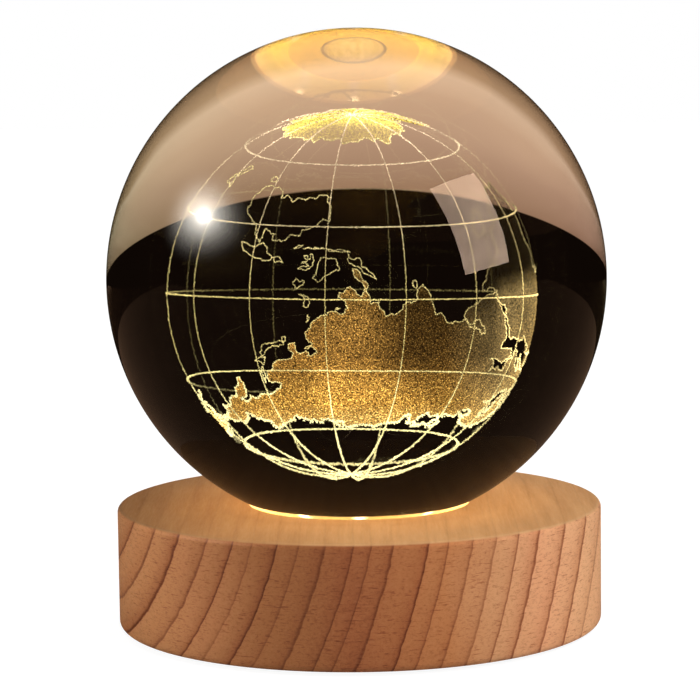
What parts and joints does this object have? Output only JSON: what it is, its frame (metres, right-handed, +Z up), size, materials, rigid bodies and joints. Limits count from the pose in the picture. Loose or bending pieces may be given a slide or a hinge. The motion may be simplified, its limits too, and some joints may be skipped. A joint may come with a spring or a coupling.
{
  "type": "crystal ball lamp",
  "caption": "Clear crystal ball with an engraved globe, resting loosely on a round turned wood base that lights it from below; power socket and push button at the back.",
  "frame": {"origin": "centre of the base, on the surface that the feet stand on", "axes": "+Z up through the ball's centre; the front faces -Y; the power socket and the button are at the back, +Y; +X is to the right seen from the front"},
  "size_m": [0.08, 0.08, 0.096],
  "materials": {
    "crystal": "polished, clear",
    "beech": "sanded, oiled",
    "clear_silicone": "clear, soft",
    "clear_plastic": "clear, smooth",
    "white_plastic": "matt",
    "white_board": "white solder mask",
    "light_emitter": "phosphor in a white case",
    "black_ceramic": "matt",
    "green_board": "green solder mask",
    "chip_epoxy": "moulded",
    "steel": "nickel plated",
    "black_plastic": "moulded, fine texture",
    "red_insulation": "smooth",
    "black_insulation": "smooth",
    "black_rubber": "matt"
  },
  "bodies": {
    "base": {"board_screw_1": "steel", "board_screw_2": "steel", "bottom_cover": "black_plastic", "control_board": "green_board", "control_chip": "chip_epoxy", "cover_screw_1": "steel", "cover_screw_2": "steel", "cover_screw_3": "steel", "cover_screw_4": "steel", "cup_screw_1": "steel", "cup_screw_2": "steel", "cup_screw_3": "steel", "foot_1": "black_rubber", "foot_2": "black_rubber", "foot_3": "black_rubber", "foot_4": "black_rubber", "inlet_shell": "steel", "inlet_tongue": "black_plastic", "led_1": "light_emitter", "led_2": "light_emitter", "led_3": "light_emitter", "led_4": "light_emitter", "led_5": "light_emitter", "led_6": "light_emitter", "led_board": "white_board", "led_resistor_1": "black_ceramic", "led_resistor_2": "black_ceramic", "light_window": "clear_plastic", "reflector_cup": "white_plastic", "seat_ring": "clear_silicone", "switch_body": "black_plastic", "wire_black": "black_insulation", "wire_red": "red_insulation", "wood_base": "beech"},
    "ball": {"crystal_ball": "crystal"},
    "button": {"power_button": "black_plastic", "switch_plunger": "white_plastic"}
  },
  "joints": [
    {"name": "ball_lift", "type": "slide", "parent": "base", "child": "ball", "axis": [0, 0, 1], "range_m": [0, 0.06]},
    {"name": "button_press", "type": "slide", "parent": "base", "child": "button", "axis": [0, -1, 0], "range_m": [0, 0.001], "stiffness_N_per_m": 800, "springref_m": -0.001}
  ]
}
